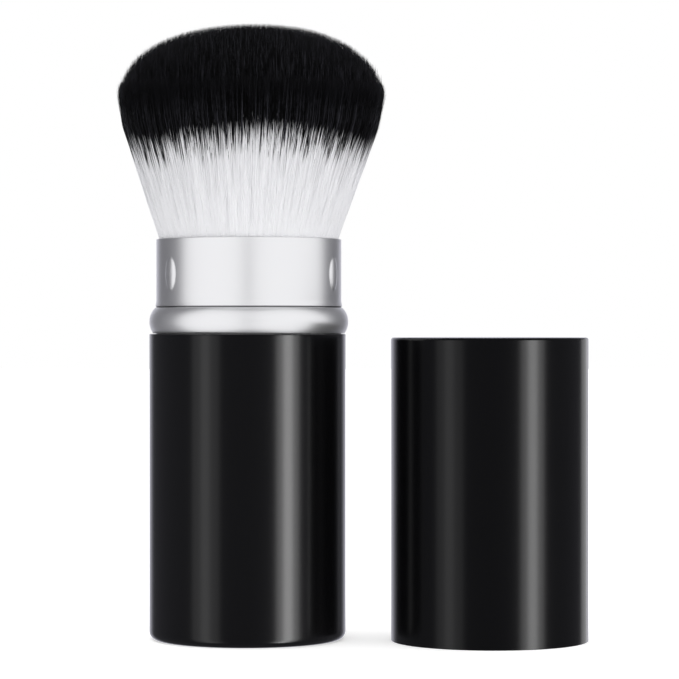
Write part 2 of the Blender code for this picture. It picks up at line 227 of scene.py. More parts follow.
@dataclass(frozen=True)
class Lacquer(Finish):
    """Sprayed and baked gloss lacquer on drawn aluminium.

    It flows out almost flat, so it mirrors the lights as clean upright bands, with the faintest orange
    peel.
    """

    name: str = "black_lacquered_aluminium"
    colour: str = "#050506"
    roughness: float = 0.19
    shine: float = 0.5
    peel: float = 1.6 * MM
    peel_height: float = 0.00012 * MM
    haze: float = 11.0 * MM
    haze_spread: float = 0.012

    def build(self) -> bpy.types.Material:
        """Builds the lacquer, with orange peel and slow changes of gloss.

        Returns:
            The material.
        """
        material, tree, shader = self.start()
        shader.inputs["Specular IOR Level"].default_value = self.shine
        self.add_relief(tree, shader, self.peel, self.peel_height, detail=1.0)
        self.vary_gloss(tree, shader, self.haze, self.haze_spread)
        return material


@dataclass(frozen=True)
class SatinMetal(Finish):
    """Aluminium that is etched to a satin, then anodised or left plain.

    The etch scatters light along and across, so lights show as broad soft bands with a fine bright grain. A
    crease is a narrow band of painted shade: a darker colour at a height where a joint lies in shadow.
    """

    name: str = "satin_anodised_aluminium"
    colour: str = "#ececed"
    roughness: float = 0.35
    grain: float = 0.12 * MM
    grain_height: float = 0.0008 * MM
    cloud: float = 4.0 * MM
    cloud_spread: float = 0.02
    shaded_creases: tuple[float, ...] = ()
    crease_shade_width: float = 0.18 * MM
    crease_shade: float = 0.2

    def build(self) -> bpy.types.Material:
        """Builds the metal, with its etched grain, faint clouds of gloss and any creases of painted shade.

        Returns:
            The material.
        """
        material, tree, shader = self.start()
        shader.inputs["Metallic"].default_value = 1.0
        self.add_relief(tree, shader, self.grain, self.grain_height)
        self.vary_gloss(tree, shader, self.cloud, self.cloud_spread, detail=3.0)
        place = add_node(tree, COORDINATES).outputs["Object"]
        height = add_node(tree, SEPARATE, [place]).outputs[2]
        colour = linear(self.colour)[:3]
        # Each crease darkens the colour in a narrow band at its height: painted shade where a joint lies in
        # shadow
        for crease in self.shaded_creases:
            near = work_out(tree, "COMPARE", height, crease, self.crease_shade_width / 2)
            tone = add_node(tree, MAP_RANGE, [near, 0.0, 1.0, 1.0, self.crease_shade])
            colour = add_node(tree, VECTOR_MATH, [colour, tone], operation="MULTIPLY")
            tree.links.new(colour.outputs[0], shader.inputs["Base Color"])
        return material


@dataclass(frozen=True)
class Moulding(Finish):
    """Injection moulded plastic or set glue, with a fine texture on it and a slow flow in its tone."""

    texture: float = 0.25 * MM
    texture_height: float = 0.003 * MM
    flow: float = 6.0 * MM
    flow_depth: float = 0.15

    def build(self) -> bpy.types.Material:
        """Builds the moulding, with its texture and its flow of tone.

        Returns:
            The material.
        """
        material, tree, shader = self.start()
        self.add_relief(tree, shader, self.texture, self.texture_height)
        depth = {"Value": self.noise(tree, self.flow, detail=2.0)}
        depth |= {"To Min": 1.0 - self.flow_depth, "To Max": 1.0 + self.flow_depth}
        tone = add_node(tree, MAP_RANGE, depth)
        colour = add_node(tree, VECTOR_MATH, [linear(self.colour)[:3], tone], operation="MULTIPLY")
        tree.links.new(colour.outputs[0], shader.inputs["Base Color"])
        return material


@dataclass(frozen=True)
class Fibre(Finish):
    """Crimped synthetic fibre, white and dip-dyed black at the tips.

    The dye ends sooner on some fibres than on others, with a short fade, so the colours meet in a fringe of
    fine streaks. On a few fibres it is worn to a dark grey. The UV map's columns are the fibres, and its
    rows are the distance from the tip.
    """

    name: str = "two_tone_fibre"
    colour: str = "#f3f3f6"
    roughness: float = 0.42
    tip_colour: str = "#020202"
    tip_worn: str = "#42424a"
    worn_power: float = 8.0
    shine: float = 0.25
    map_name: str = "OFBake"
    columns: int = 256
    map_length: float = 60.0 * MM
    dyed: float = 11.0 * MM
    streak: float = 5.0 * MM
    streak_power: float = 0.8
    fade: float = 2.3 * MM
    fade_power: float = 2.0
    tone_depth: float = 0.02

    def build(self) -> bpy.types.Material:
        """Builds the fibre's material, which reads the fibre's column and the distance from its tip.

        Returns:
            The material.
        """
        material, tree, shader = self.start()
        shader.inputs["Specular IOR Level"].default_value = self.shine
        place = add_node(tree, "ShaderNodeUVMap", uv_map=self.map_name)
        split = add_node(tree, SEPARATE, [place])
        number = work_out(tree, "FLOOR", work_out(tree, "MULTIPLY", split, float(self.columns)))
        noise = add_node(tree, "ShaderNodeTexWhiteNoise", {"W": number}, noise_dimensions="1D")
        chances = add_node(tree, "ShaderNodeSeparateColor", [noise.outputs["Color"]]).outputs
        white = self.whiteness(tree, split.outputs[1], chances[0])
        depth = {"Value": chances[1], "To Min": 1.0 - self.tone_depth, "To Max": 1.0}
        tone = add_node(tree, MAP_RANGE, depth)
        pale = add_node(tree, VECTOR_MATH, [linear(self.colour)[:3], tone], operation="MULTIPLY")
        worn = work_out(tree, "POWER", chances[2], self.worn_power)
        dark = self.blend(tree, worn, linear(self.tip_colour), linear(self.tip_worn))
        tree.links.new(self.blend(tree, white, dark, pale), shader.inputs["Base Color"])
        return material

    def whiteness(
        self, tree: bpy.types.NodeTree, row: bpy.types.NodeSocket, chance: bpy.types.NodeSocket
    ) -> bpy.types.Node:
        """Works out how white the fibre is: not at all where it is dyed, then more and more, then fully.

        Args:
            tree: The material's tree.
            row: The place's height on the UV map.
            chance: The fibre's own chance, from 0 to 1.

        Returns:
            The node that gives it, from 0 to 1.
        """
        distance = add_node(tree, MAP_RANGE, {"Value": row, "To Min": self.map_length, "To Max": 0.0})
        early = work_out(tree, "POWER", chance, self.streak_power)
        start = add_node(tree, MAP_RANGE, [early, 0.0, 1.0, self.dyed, self.dyed - self.streak])
        past = work_out(tree, "SUBTRACT", distance, start)
        left = add_node(tree, MAP_RANGE, [past, 0.0, self.fade, 1.0, 0.0])
        return work_out(tree, "SUBTRACT", 1.0, work_out(tree, "POWER", left, self.fade_power))

    def blend(
        self, tree: bpy.types.NodeTree, share: bpy.types.Node, first: object, second: object
    ) -> bpy.types.NodeSocket:
        """The mix of two colours, with that share of the second."""
        return add_node(tree, "ShaderNodeMix", {0: share, 6: first, 7: second}, data_type="RGBA").outputs[2]


LACQUER = Lacquer()
CAP_LACQUER = Lacquer(name="black_lacquered_cap", shine=0.36)
BEAD_SATIN = SatinMetal(name="satin_anodised_bead", roughness=0.37)
# The sleeve's creases are painted shade: one under the rolled ridge, and one where the tube shows in the
# gap between the bead and the base's rim
SLEEVE_SATIN = SatinMetal(name="satin_anodised_sleeve", shaded_creases=(55.8 * MM, 51.4 * MM))
DRAWN = SatinMetal(name="plain_aluminium", colour="#d9d9dc", roughness=0.34)
BLACK_PLASTIC = Moulding(name="black_moulding", colour="#202022", roughness=0.5)
NATURAL_PLASTIC = Moulding(name="natural_moulding", colour="#cdcbc4", roughness=0.45, flow_depth=0.04)
GLUE = Moulding(name="set_glue", colour="#d9c79a", roughness=0.3, texture=1.5 * MM, flow_depth=0.1)
FIBRE = Fibre()


# Turned pieces


def arc(centre: Point, radius: float, start: float, end: float, steps: int = 8) -> list[Point]:
    """Points along an arc, ends included.

    Args:
        centre: The arc's centre, as (radius, height).
        radius: The arc's own radius.
        start: The first point's angle in degrees, from outwards towards up.
        end: The last point's angle.
        steps: How many straight steps it has.

    Returns:
        The points, as (radius, height).
    """
    points = []
    for step in range(steps + 1):
        angle = math.radians(start + (end - start) * step / steps)
        points.append((centre[0] + radius * math.cos(angle), centre[1] + radius * math.sin(angle)))
    return points


def held(outline: list[Point], hold: float = 0.2 * MM, long_run: float = 0.8 * MM) -> list[Point]:
    """An outline with a point near both ends of each long run, so that a flat wall shades as flat.

    Args:
        outline: The closed outline.
        hold: How far from each end the new points stand.
        long_run: How long a run has to be to get them.

    Returns:
        The outline with the new points.
    """
    points = []
    for index, (start_r, start_z) in enumerate(outline):
        end_r, end_z = outline[(index + 1) % len(outline)]
        points.append((start_r, start_z))
        length = math.hypot(end_r - start_r, end_z - start_z)
        if length > long_run and max(start_r, end_r) > 0:
            for share in (hold / length, 1 - hold / length):
                points.append((start_r + (end_r - start_r) * share, start_z + (end_z - start_z) * share))
    return points


def rows(start: float, end: float, radius: float, step: float) -> list[Point]:
    """Points up or down a straight wall, ends included, at no more than one step apart."""
    count = max(1, math.ceil(abs(end - start) / step))
    return [(radius, start + (end - start) * index / count) for index in range(count + 1)]


def add_face(shape: bmesh.types.BMesh, corners: list[bmesh.types.BMVert]) -> None:
    """Adds a face, unless fewer than three of its corners differ.

    Args:
        shape: The mesh so far.
        corners: The face's corners in order, some of which may be the same at a pole.
    """
    unique = list(dict.fromkeys(corners))
    if len(unique) > 2:
        shape.faces.new(unique)


def turned(
    name: str,
    outline: list[Point],
    segments: int,
    centre: Point = (0.0, 0.0),
    relief: Callable[[float, float], float] | None = None,
) -> bpy.types.Object:
    """Turns a closed outline about an upright axis into a smooth closed mesh.

    Args:
        name: The piece's name.
        outline: Points as (radius, height). Those on the axis become poles.
        segments: How many faces go round.
        centre: Where the axis stands.
        relief: What the radius gains at an angle and a height, if anything.

    Returns:
        The piece, at the origin, with its place in its mesh.
    """
    shape = bmesh.new()
    rings = []
    for radius, height in outline:
        if radius <= 0:
            rings.append([shape.verts.new((*centre, height))])
            continue
        ring = []
        for segment in range(segments):
            angle = FULL_TURN * segment / segments
            reach = radius + (relief(angle, height) if relief else 0.0)
            place = (centre[0] + reach * math.cos(angle), centre[1] + reach * math.sin(angle), height)
            ring.append(shape.verts.new(place))
        rings.append(ring)
    for lower, upper in zip(rings, rings[1:] + rings[:1]):
        for segment in range(segments):
            after = (segment + 1) % segments
            corners = [lower[segment % len(lower)], lower[after % len(lower)]]
            corners += [upper[after % len(upper)], upper[segment % len(upper)]]
            add_face(shape, corners)
    bmesh.ops.recalc_face_normals(shape, faces=shape.faces)
    mesh = bpy.data.meshes.new(name)
    shape.to_mesh(mesh)
    shape.free()
    mesh.shade_smooth()
    mesh.set_sharp_from_angle(angle=SHARP_EDGE)
    piece = bpy.data.objects.new(name, mesh)
    bpy.context.scene.collection.objects.link(piece)
    return piece


def hand_over(piece: bpy.types.Object, finish: Finish, body: Body, slot: Slot, *nodes: str) -> None:
    """Gives a finished piece its material and its body, and hides the CAD nodes that it stands for.

    Args:
        piece: The finished piece.
        finish: Its finish.
        body: The body that it rides on.
        slot: The record's slot of its finish. It is not used.
        nodes: The CAD nodes that it stands for.
    """
    if not piece.data.materials:
        piece.data.materials.append(material_of(finish))
    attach(piece, body.value)
    pieces_of.setdefault(finish, []).append(piece)
    if nodes:
        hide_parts(*nodes)
    log.info("%s rides on %s and stands for %s", piece.name, body.value, ", ".join(nodes) or "nothing")


def dress(node: str, finish: Finish) -> None:
    """Gives a carried-over CAD node its finish.

    Args:
        node: The node's name.
        finish: Its finish.
    """
    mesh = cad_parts[node].data
    if not mesh.materials:
        mesh.materials.append(None)
    for index in range(len(mesh.materials)):
        mesh.materials[index] = material_of(finish)
    log.info("%s keeps its CAD shape in %s", node, finish.name)


# Sub-assemblies


@dataclass
class Base:
    """The lacquered base shell, with the post and the head's seat that it hides."""

    radius: float = 16.5 * MM
    height: float = 51.3 * MM
    wall: float = 0.6 * MM
    floor: float = 0.8 * MM
    foot_round: float = 1.4 * MM
    foot_steps: int = 12
    lip_round: float = 0.15 * MM
    lip_steps: int = 4
    segments: int = 192

    def outline(self) -> list[Point]:
        """Draws the shell: up the bore, over the lip, down the outside and under the foot.

        Returns:
            The closed outline.
        """
        bore = self.radius - self.wall
        corner = self.foot_round - self.wall
        lip = self.height - self.lip_round
        points = [(0.0, self.floor)]
        points += arc((bore - corner, self.floor + corner), corner, -90, 0)
        points += arc((bore + self.lip_round, lip), self.lip_round, 180, 90, self.lip_steps)
        points += arc((self.radius - self.lip_round, lip), self.lip_round, 90, 0, self.lip_steps)
        foot = (self.radius - self.foot_round, self.foot_round)
        points += arc(foot, self.foot_round, 0, -90, self.foot_steps)
        return held(points + [(0.0, 0.0)])

    def build(self) -> None:
        """Builds the shell and dresses what it hides."""
        shell = turned("base_shell_lacquered", self.outline(), self.segments)
        hand_over(shell, LACQUER, Body.BASE, Slot.LACQUER, "base_shell")
        dress("post", BLACK_PLASTIC)
        dress("head_plug", BLACK_PLASTIC)
        dress("head_cup", DRAWN)
        dress("potting", GLUE)


@dataclass
class Sleeve:
    """The satin sleeve with its rolled ridge and three pressed bumps, the bead and the hidden bush."""

    centre: Point = (PLAY, 0.0)
    radius: float = 15.55 * MM
    wall: float = 0.45 * MM
    bottom: float = 8.0 * MM
    top: float = 67.2 * MM
    rim_round: float = 0.14 * MM
    rim_steps: int = 4
    ridge_bottom: float = 55.88 * MM
    ridge_height: float = 0.2 * MM
    ridge_reach: float = 1.2 * MM
    ridge_edge: float = 0.08
    ridge_rows: float = 1.3 * MM
    bump_level: float = 61.275 * MM
    bump_height: float = 0.32 * MM
    bump_power: float = 0.65
    bump_half_width: float = 1.5 * MM
    bump_half_length: float = 2.8 * MM
    bump_angles: tuple[float, ...] = (-147.0, -25.0, 94.0)
    bead_bottom: float = 51.4 * MM
    bead_height: float = 4.3 * MM
    bead_proud: float = 16.72 * MM
    bead_crown: float = 3.3 * MM
    bead_steps: int = 28
    bead_widest: float = 0.45
    bead_gap: float = 0.2 * MM
    row_step: float = 0.2 * MM
    fine_step: float = 0.05 * MM
    segments: int = 480
    bead_segments: int = 240

    def relief(self, angle: float, height: float) -> float:
        """Works out what the three bumps and the ridge add to the tube's radius.

        Args:
            angle: The place's angle in radians.
            height: Its height.

        Returns:
            What the radius gains there.
        """
        gain = 0.0
        for degrees in self.bump_angles:
            away = (angle - math.radians(degrees) + math.pi) % FULL_TURN - math.pi
            across = away * self.radius / self.bump_half_width
            along = (height - self.bump_level) / self.bump_half_length
            inside = 1 - across * across - along * along
            if inside > 0:
                gain += self.bump_height * inside**self.bump_power
        return gain + self.ridge_relief(height)

    def ridge_relief(self, height: float) -> float:
        """Works out what the rolled ridge adds: the wall eases outwards down to a crisp lower edge.

        Args:
            height: The place's height.

        Returns:
            What the radius gains there.
        """
        rise = (height - self.ridge_bottom) / self.ridge_reach
        if rise < 0 or rise > 1:
            return 0.0
        return self.ridge_height * min(rise / self.ridge_edge, (1 - rise) ** 2)

    def outline(self) -> list[Point]:
        """Draws the tube, with close rows where the bumps and the ridge are.

        Returns:
            The closed outline.
        """
        bore = self.radius - self.wall
        rim = self.top - self.rim_round
        low = self.ridge_bottom - self.fine_step
        high = self.ridge_bottom + self.ridge_rows
        points = arc((self.radius - self.rim_round, rim), self.rim_round, 90, 0, self.rim_steps)
        points += rows(rim - self.row_step, high + 2 * self.fine_step, self.radius, self.row_step)
        points += rows(high, low, self.radius, self.fine_step)
        points += [(self.radius, self.bottom), (bore, self.bottom)]
        points += rows(low, high, bore, self.row_step)
        points += rows(high + self.row_step, rim - self.row_step, bore, 2 * self.row_step)
        return points + arc((bore + self.rim_round, rim), self.rim_round, 180, 90, self.rim_steps)

    def bead(self) -> list[Point]:
        """Draws the bead: a crowned outside on a plain ring.

        Returns:
            The closed outline.
        """
        inner = self.radius + self.bead_gap
        top = self.bead_bottom + self.bead_height
        widest = self.bead_bottom + self.bead_height * self.bead_widest
        centre = (self.bead_proud - self.bead_crown, widest)
        high = math.degrees(math.asin((top - widest) / self.bead_crown))
        low = -math.degrees(math.asin((widest - self.bead_bottom) / self.bead_crown))
        crown = arc(centre, self.bead_crown, high, low, self.bead_steps)
        return crown + [(inner, self.bead_bottom), (inner, top)]

    def build(self) -> None:
        """Builds the tube and the bead, and dresses the bush."""
        tube = turned("sleeve_tube_satin", self.outline(), self.segments, self.centre, self.relief)
        hand_over(tube, SLEEVE_SATIN, Body.SLEEVE, Slot.SATIN, "sleeve_tube")
        bead = turned("bead_collar_satin", self.bead(), self.bead_segments, self.centre)
        hand_over(bead, BEAD_SATIN, Body.SLEEVE, Slot.SATIN, "bead_collar")
        dress("slide_bush", NATURAL_PLASTIC)


@dataclass
class Cap:
    """The lacquered cap, which stands mouth down beside the brush."""

    centre: Point = (40.5 * MM, -4.0 * MM)
    radius: float = 16.5 * MM
    height: float = 50.7 * MM
    wall: float = 0.6 * MM
    top: float = 0.7 * MM
    edge_round: float = 0.4 * MM
    mouth_round: float = 0.2 * MM
    mouth_steps: int = 3
    inner_steps: int = 4
    segments: int = 192

    def outline(self) -> list[Point]:
        """Draws the cap: over the top, down the outside, round the mouth and up the bore.

        Returns:
            The closed outline.
        """
        bore = self.radius - self.wall
        ceiling = self.height - self.top
        edge = self.edge_round
        mouth = self.mouth_round
        points = [(0.0, self.height)]
        points += arc((self.radius - edge, self.height - edge), edge, 90, 0)
        points += arc((self.radius - mouth / 2, mouth / 2), mouth / 2, 0, -90, self.mouth_steps)
        points += arc((bore + mouth, mouth), mouth, -90, -180, self.inner_steps)
        points += arc((bore - edge, ceiling - edge), edge, 0, 90, self.inner_steps)
        return held(points + [(0.0, ceiling)])

    def build(self) -> None:
        """Builds the cap."""
        shell = turned("cap_shell_lacquered", self.outline(), self.segments, self.centre)
        hand_over(shell, CAP_LACQUER, Body.CAP, Slot.LACQUER, "cap_shell")


@dataclass(frozen=True)
class Layer:
    """One layer of hair: how many fibres a sector has of it, where they grow and how many cuts each has.

    They grow from the inner to the outer share of the radius, more of them outwards the lower the power is.
    A layer with a length has short fibres, and one without has fibres from the root to the tip.
    """

    name: str
    fibres: int
    inner: float
    outer: float
    power: float
    cuts: int
    length: float = 0.0


@dataclass
class Head:
    """The head of hair: fibres that fan out of the sleeve and end in a dome, in sectors round the axis.

    Each sector has long fibres in an outer layer, short ones that fill the
    dome, and a core in place of the dense hair behind them.
    """

    sectors: int = 12
    seed: int = 11
    seeds_of_a_sector: int = 100
    layers: tuple[Layer, ...] = (
        Layer("outer", 4000, 0.98, 1.0, 0.8, 5),
        Layer("dome", 3000, 0.0, 0.97, 0.5, 2, 7.0 * MM),
    )
    kept: float = 0.6

    # The bundle
    root_height: float = 53.05 * MM
    rim_height: float = 67.2 * MM
    widest_height: float = 89.9 * MM
    top_height: float = 103.34 * MM
    rim_radius: float = 15.0 * MM
    widest_radius: float = 22.4 * MM
    fan_slope: float = 0.2929
    flare_power: float = 1.05
    dome_power: float = 2.3
    tip_share: float = 0.993

    # How it leans aside, as in the photograph
    play: float = PLAY
    lean: float = 0.45 * MM
    lean_height: float = 92.0 * MM
    top_lean: float = 0.75 * MM
    top_power: float = 8.0

    # One fibre, and how it wanders
    sides: int = 3
    fibre_radius: float = 0.055 * MM
    thick_share: float = 0.6
    twist: float = math.radians(6)
    cut: float = 0.9 * MM
    cut_power: float = 2.5
    sway: float = 0.65 * MM
    loose_power: float = 1.4
    drift_in: float = -0.5
    drift_out: float = 0.1
    stray: float = 0.6 * MM
    stray_power: float = 16.0
    crimp: float = 0.22 * MM
    crimp_length: float = 12.0 * MM
    crimp_phases: int = 40
    ripple: float = 0.5
    clump: float = 0.08 * MM
    clump_size: float = 1.5 * MM
    clump_stretch: float = 0.15
    clump_low: float = 0.25
    clump_high: float = 0.75

    # The dye line, which is lowest between the crests of its arches
    dye_front: float = math.radians(-84)
    dye_swing: float = 1.9 * MM
    dye_arches: int = 3

    # How far a fibre keeps clear of the edges of its column on the UV map
    column_margin: float = 0.1

    # The core
    core_share: float = 0.987
    core_taper: float = 0.027
    core_taper_power: int = 3
    core_drop: float = 3.0 * MM
    core_bottom: float = 57.5 * MM
    core_columns: int = 14
    core_rows: int = 16
    core_crown_rows: int = 8
    core_tip_share: float = 0.97

    quick_density: float = 0.4
    quick_thickness: float = 1.4

    def bundle(self, height: float) -> float:
        """Works out how wide the hair is, by the same rule as the fibres' tree.

        Args:
            height: The height.

        Returns:
            The hair's radius there.
        """
        if height <= self.rim_height:
            return self.rim_radius - self.fan_slope * (self.rim_height - height)
        rise = min((height - self.rim_height) / (self.widest_height - self.rim_height), 1.0)
        flare = 1 - (1 - rise) ** self.flare_power
        return self.rim_radius + (self.widest_radius - self.rim_radius) * flare

    def dome(self, share: float) -> float:
        """The height of the dome at a share of the radius, by the same rule as the fibres' tree."""
        fall = (1 - (share * self.tip_share) ** self.dome_power) ** (1 / self.dome_power)
        return self.widest_height + (self.top_height - self.widest_height) * fall

    def shift(self, height: float) -> float:
        """Works out how far the hair stands aside: a little above the rim, and more towards the top.

        Args:
            height: The height.

        Returns:
            How far it stands aside along X.
        """
        low = min(max((height - self.rim_height) / (self.lean_height - self.rim_height), 0.0), 1.0)
        high = max((height - self.widest_height) / (self.top_height - self.widest_height), 0.0)
        return self.play + self.lean * low + self.top_lean * high**self.top_power

    def dye_line(self, turn: float) -> float:
        """Works out how much lower the dye line runs than at the crests of its arches.

        Args:
            turn: The place's turn round the head.

        Returns:
            How much lower it is there.
        """
        arch = FULL_TURN / self.dye_arches
        away = (turn - self.dye_front) % arch
        return self.dye_swing * min(away, arch - away)

    def core_profile(self) -> list[Point]:
        """Draws the core's outside, from the pole at its foot, up its side and over its crown.

        Returns:
            The points, as (radius, height).
        """
        edge = self.dome(self.core_share) - self.core_drop
        profile = [(0.0, self.core_bottom)]
        for row in range(self.core_rows + 1):
            rise = row / self.core_rows
            height = self.core_bottom + (edge - self.core_bottom) * rise
            share = self.core_share - self.core_taper * rise**self.core_taper_power
            profile.append((share * self.bundle(height), height))
        for row in range(1, self.core_crown_rows + 1):
            share = (self.core_share - self.core_taper) * (1 - row / self.core_crown_rows)
            profile.append((share * self.bundle(edge), self.dome(share) - self.core_drop))
        return profile

    def core(self, name: str, first: float) -> bpy.types.Mesh:
        """Builds a closed wedge a little inside the hair's surface.

        Args:
            name: The mesh's name.
            first: The turn of its first side.

        Returns:
            The wedge's mesh, mapped like the fibres.
        """
        shape = bmesh.new()
        rings = []
        for radius, height in self.core_profile():
            ring = []
            for column in range(self.core_columns + 1 if radius > 0 else 1):
                turn = first + FULL_TURN / self.sectors * column / self.core_columns
                across = radius * math.cos(turn) + self.shift(height)
                ring.append(shape.verts.new((across, radius * math.sin(turn), height)))
            rings.append(ring)
        for low, high in zip(rings, rings[1:]):
            for column in range(self.core_columns):
                corners = [low[min(column, len(low) - 1)], low[min(column + 1, len(low) - 1)]]
                corners += [high[min(column + 1, len(high) - 1)], high[min(column, len(high) - 1)]]
                add_face(shape, corners)
        shape.faces.new([ring[0] for ring in rings])
        shape.faces.new([ring[-1] for ring in reversed(rings)])
        bmesh.ops.recalc_face_normals(shape, faces=shape.faces)
        self.map_core(shape, first)
        mesh = bpy.data.meshes.new(name)
        shape.to_mesh(mesh)
        shape.free()
        mesh.set_sharp_from_angle(angle=SHARP_EDGE)
        return mesh

    def map_core(self, shape: bmesh.types.BMesh, first: float) -> None:
        """Maps the core like the fibres: its turn across, and the distance from the tips upside down.

        Args:
            shape: The core's mesh.
            first: The turn of its first side.
        """
        sweep = FULL_TURN / self.sectors
        layer = shape.loops.layers.uv.new(FIBRE.map_name)
        for face in shape.faces:
            for loop in face.loops:
                place = loop.vert.co
                turn = math.atan2(place.y, place.x - self.shift(place.z)) - first
                turn = (turn + math.pi) % FULL_TURN - math.pi
                left = self.dome(self.core_tip_share) - place.z - self.dye_line(first + turn)
                across = min(max(turn / sweep, 0.0), 1.0)
                loop[layer].uv = (across, 1 - max(left, 0.0) / FIBRE.map_length)

    def grow(self, growth: "Growth", sector: int) -> bpy.types.Object:
        """Grows one sector and makes it a plain mesh.

        Args:
            growth: The tree that grows it.
            sector: Which sector it is.

        Returns:
            The piece.
        """
        name = f"hair_sector_{sector + 1:02d}"
        first = FULL_TURN * (sector - 0.5) / self.sectors
        piece = bpy.data.objects.new(name, self.core(f"{name}_core", first))
        bpy.context.scene.collection.objects.link(piece)
        growing = piece.modifiers.new("hair", "NODES")
        growing.node_group = growth.tree
        growing[growth.inputs["Seed"]] = self.seed + self.seeds_of_a_sector * sector
        growing[growth.inputs["First Turn"]] = first
        graph = bpy.context.evaluated_depsgraph_get()
        grown = bpy.data.meshes.new_from_object(piece.evaluated_get(graph))
        grown.name = name
        piece.modifiers.remove(growing)
        piece.data = grown
        for stored in (*growth.chances, *growth.marks):
            if stored in grown.attributes:
                grown.attributes.remove(grown.attributes[stored])
        return piece

    def build(self) -> None:
        """Grows every sector and hands each over to ride on the base."""
        growth = Growth(self)
        for sector in range(self.sectors):
            piece = self.grow(growth, sector)
            nodes = ("bristles_inner", "bristles_outer") if sector == 0 else ()
            hand_over(piece, FIBRE, Body.BASE, Slot.FIBRE, *nodes)
            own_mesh(piece)
            log.info("%s has %d faces", piece.name, len(piece.data.polygons))


class Growth:
    """The tree of nodes that grows one sector of hair round its core, with its sizes as named inputs.

    A fibre starts as an upright spike on a point. The point holds the fibre's own chances, the spike holds
    marks that say how far along and on which side each of its corners is, and from both the tree works out
    where the corner goes.
    """

    heights: tuple[str, ...] = ("root_height", "rim_height", "widest_height", "top_height")
    widths: tuple[str, ...] = ("rim_radius", "widest_radius", "fibre_radius")
    wanderings: tuple[str, ...] = ("sway", "clump", "cut", "lean", "stray", "crimp")
    chances: tuple[str, ...] = ("share", "turn", "lean", "drift", "short", "column")
    chances_both_ways: tuple[str, ...] = ("lean", "drift")
    marks: tuple[str, ...] = ("along", "angle", "side")
    seeds_of_a_cut: int = 10

    def __init__(self, head: Head) -> None:
        """Builds the tree.

        Args:
            head: The head of hair, whose sizes the inputs start at.
        """
        self.head = head
        self.inputs: dict[str, str] = {}
        self.tree = bpy.data.node_groups.new("hair_sector", "GeometryNodeTree")
        self.tree.interface.new_socket("Geometry", in_out="OUTPUT", socket_type="NodeSocketGeometry")
        self.tree.interface.new_socket("Core", in_out="INPUT", socket_type="NodeSocketGeometry")
        self.add_input("Seed", head.seed, "Int")
        self.add_input("First Turn", 0.0)
        self.add_input("Density", 1.0)
        self.add_input("Sweep", FULL_TURN / head.sectors)
        for size in self.heights + self.widths + self.wanderings:
            self.add_input(size.replace("_", " ").title(), getattr(head, size))
        self.given = add_node(self.tree, "NodeGroupInput").outputs
        join = add_node(self.tree, "GeometryNodeJoinGeometry", [self.given["Core"]])
        for layer in head.layers:
            self.tree.links.new(self.fibres(layer).outputs[0], join.inputs[0])
            log.info("the %s layer has %d fibres in a sector", layer.name, layer.fibres)
        dressed = {"Geometry": join, "Material": material_of(FIBRE)}
        done = add_node(self.tree, "GeometryNodeSetMaterial", dressed)
        add_node(self.tree, "NodeGroupOutput", [done])

    def add_input(self, name: str, value: float, kind: str = "Float") -> None:
        """Adds a named input to the tree.

        Args:
            name: The input's name.
            value: What it starts at.
            kind: Its kind of number.
        """
        socket = self.tree.interface.new_socket(name, in_out="INPUT", socket_type=f"NodeSocket{kind}")
        socket.default_value = value
        self.inputs[name] = socket.identifier

    def work(self, operation: str, *values: object) -> bpy.types.Node:
        """Adds a math node to the tree, as work_out does."""
        return work_out(self.tree, operation, *values)

    def remap(self, *values: object) -> bpy.types.Node:
        """Adds a node that maps a value from one range, low and high, to another."""
        return add_node(self.tree, MAP_RANGE, values)

    def read(self, name: str) -> bpy.types.NodeSocket:
        """The chance or mark of that name."""
        values = {"Name": name}
        return add_node(self.tree, "GeometryNodeInputNamedAttribute", values, data_type="FLOAT").outputs[0]

    def store(
        self,
        geometry: bpy.types.Node,
        name: str,
        value: bpy.types.Node | bpy.types.NodeSocket,
        kind: str = "FLOAT",
        domain: str = "POINT",
    ) -> bpy.types.Node:
        """Keeps a value on the geometry under a name.

        Args:
            geometry: The geometry so far.
            name: The value's name.
            value: What gives it.
            kind: Its data type.
            domain: What holds it.

        Returns:
            The node with the geometry that has it.
        """
        values = {"Geometry": geometry, "Name": name, "Value": value}
        kept_as = {"data_type": kind, "domain": domain}
        return add_node(self.tree, "GeometryNodeStoreNamedAttribute", values, **kept_as)

    def fibres(self, layer: Layer) -> bpy.types.Node:
        """Grows one layer.

        Args:
            layer: The layer.

        Returns:
            The node with its fibres, bent, mapped and smooth.
        """
        spikes = {"Points": self.roots(layer), "Instance": self.spike(layer)}
        placed = add_node(self.tree, "GeometryNodeInstanceOnPoints", spikes)
        real = add_node(self.tree, "GeometryNodeRealizeInstances", [placed])
        tip = self.tip()
        place = self.place(tip, self.height(layer, tip))
        bent = add_node(self.tree, "GeometryNodeSetPosition", {"Geometry": real, "Position": place})
        mapped = self.store(bent, FIBRE.map_name, self.map_place(tip), "FLOAT2", "CORNER")
        return add_node(self.tree, "GeometryNodeSetShadeSmooth", {"Geometry": mapped, "Shade Smooth": True})

    def roots(self, layer: Layer) -> bpy.types.Node:
        """Adds one point for each fibre, with its share of the radius, its turn and its other chances.

        Args:
            layer: The layer.

        Returns:
            The node with the points.
        """
        count = self.work("MULTIPLY", self.given["Density"], float(layer.fibres))
        geometry = add_node(self.tree, "GeometryNodePoints", {"Count": count})
        for step, name in enumerate(self.chances):
            seed = self.work("ADD", self.given["Seed"], float(step + self.seeds_of_a_cut * layer.cuts))
            low = -1.0 if name in self.chances_both_ways else 0.0
            values = {2: low, 3: 1.0, "Seed": seed}
            value = add_node(self.tree, "FunctionNodeRandomValue", values, data_type="FLOAT").outputs[1]
            if name == "share":
                value = self.work("POWER", value, layer.power)
                value = self.remap(value, 0.0, 1.0, layer.inner, layer.outer)
            if name == "turn":
                value = self.work("MULTIPLY_ADD", value, self.given["Sweep"], self.given["First Turn"])
            geometry = self.store(geometry, name, value)
        return geometry

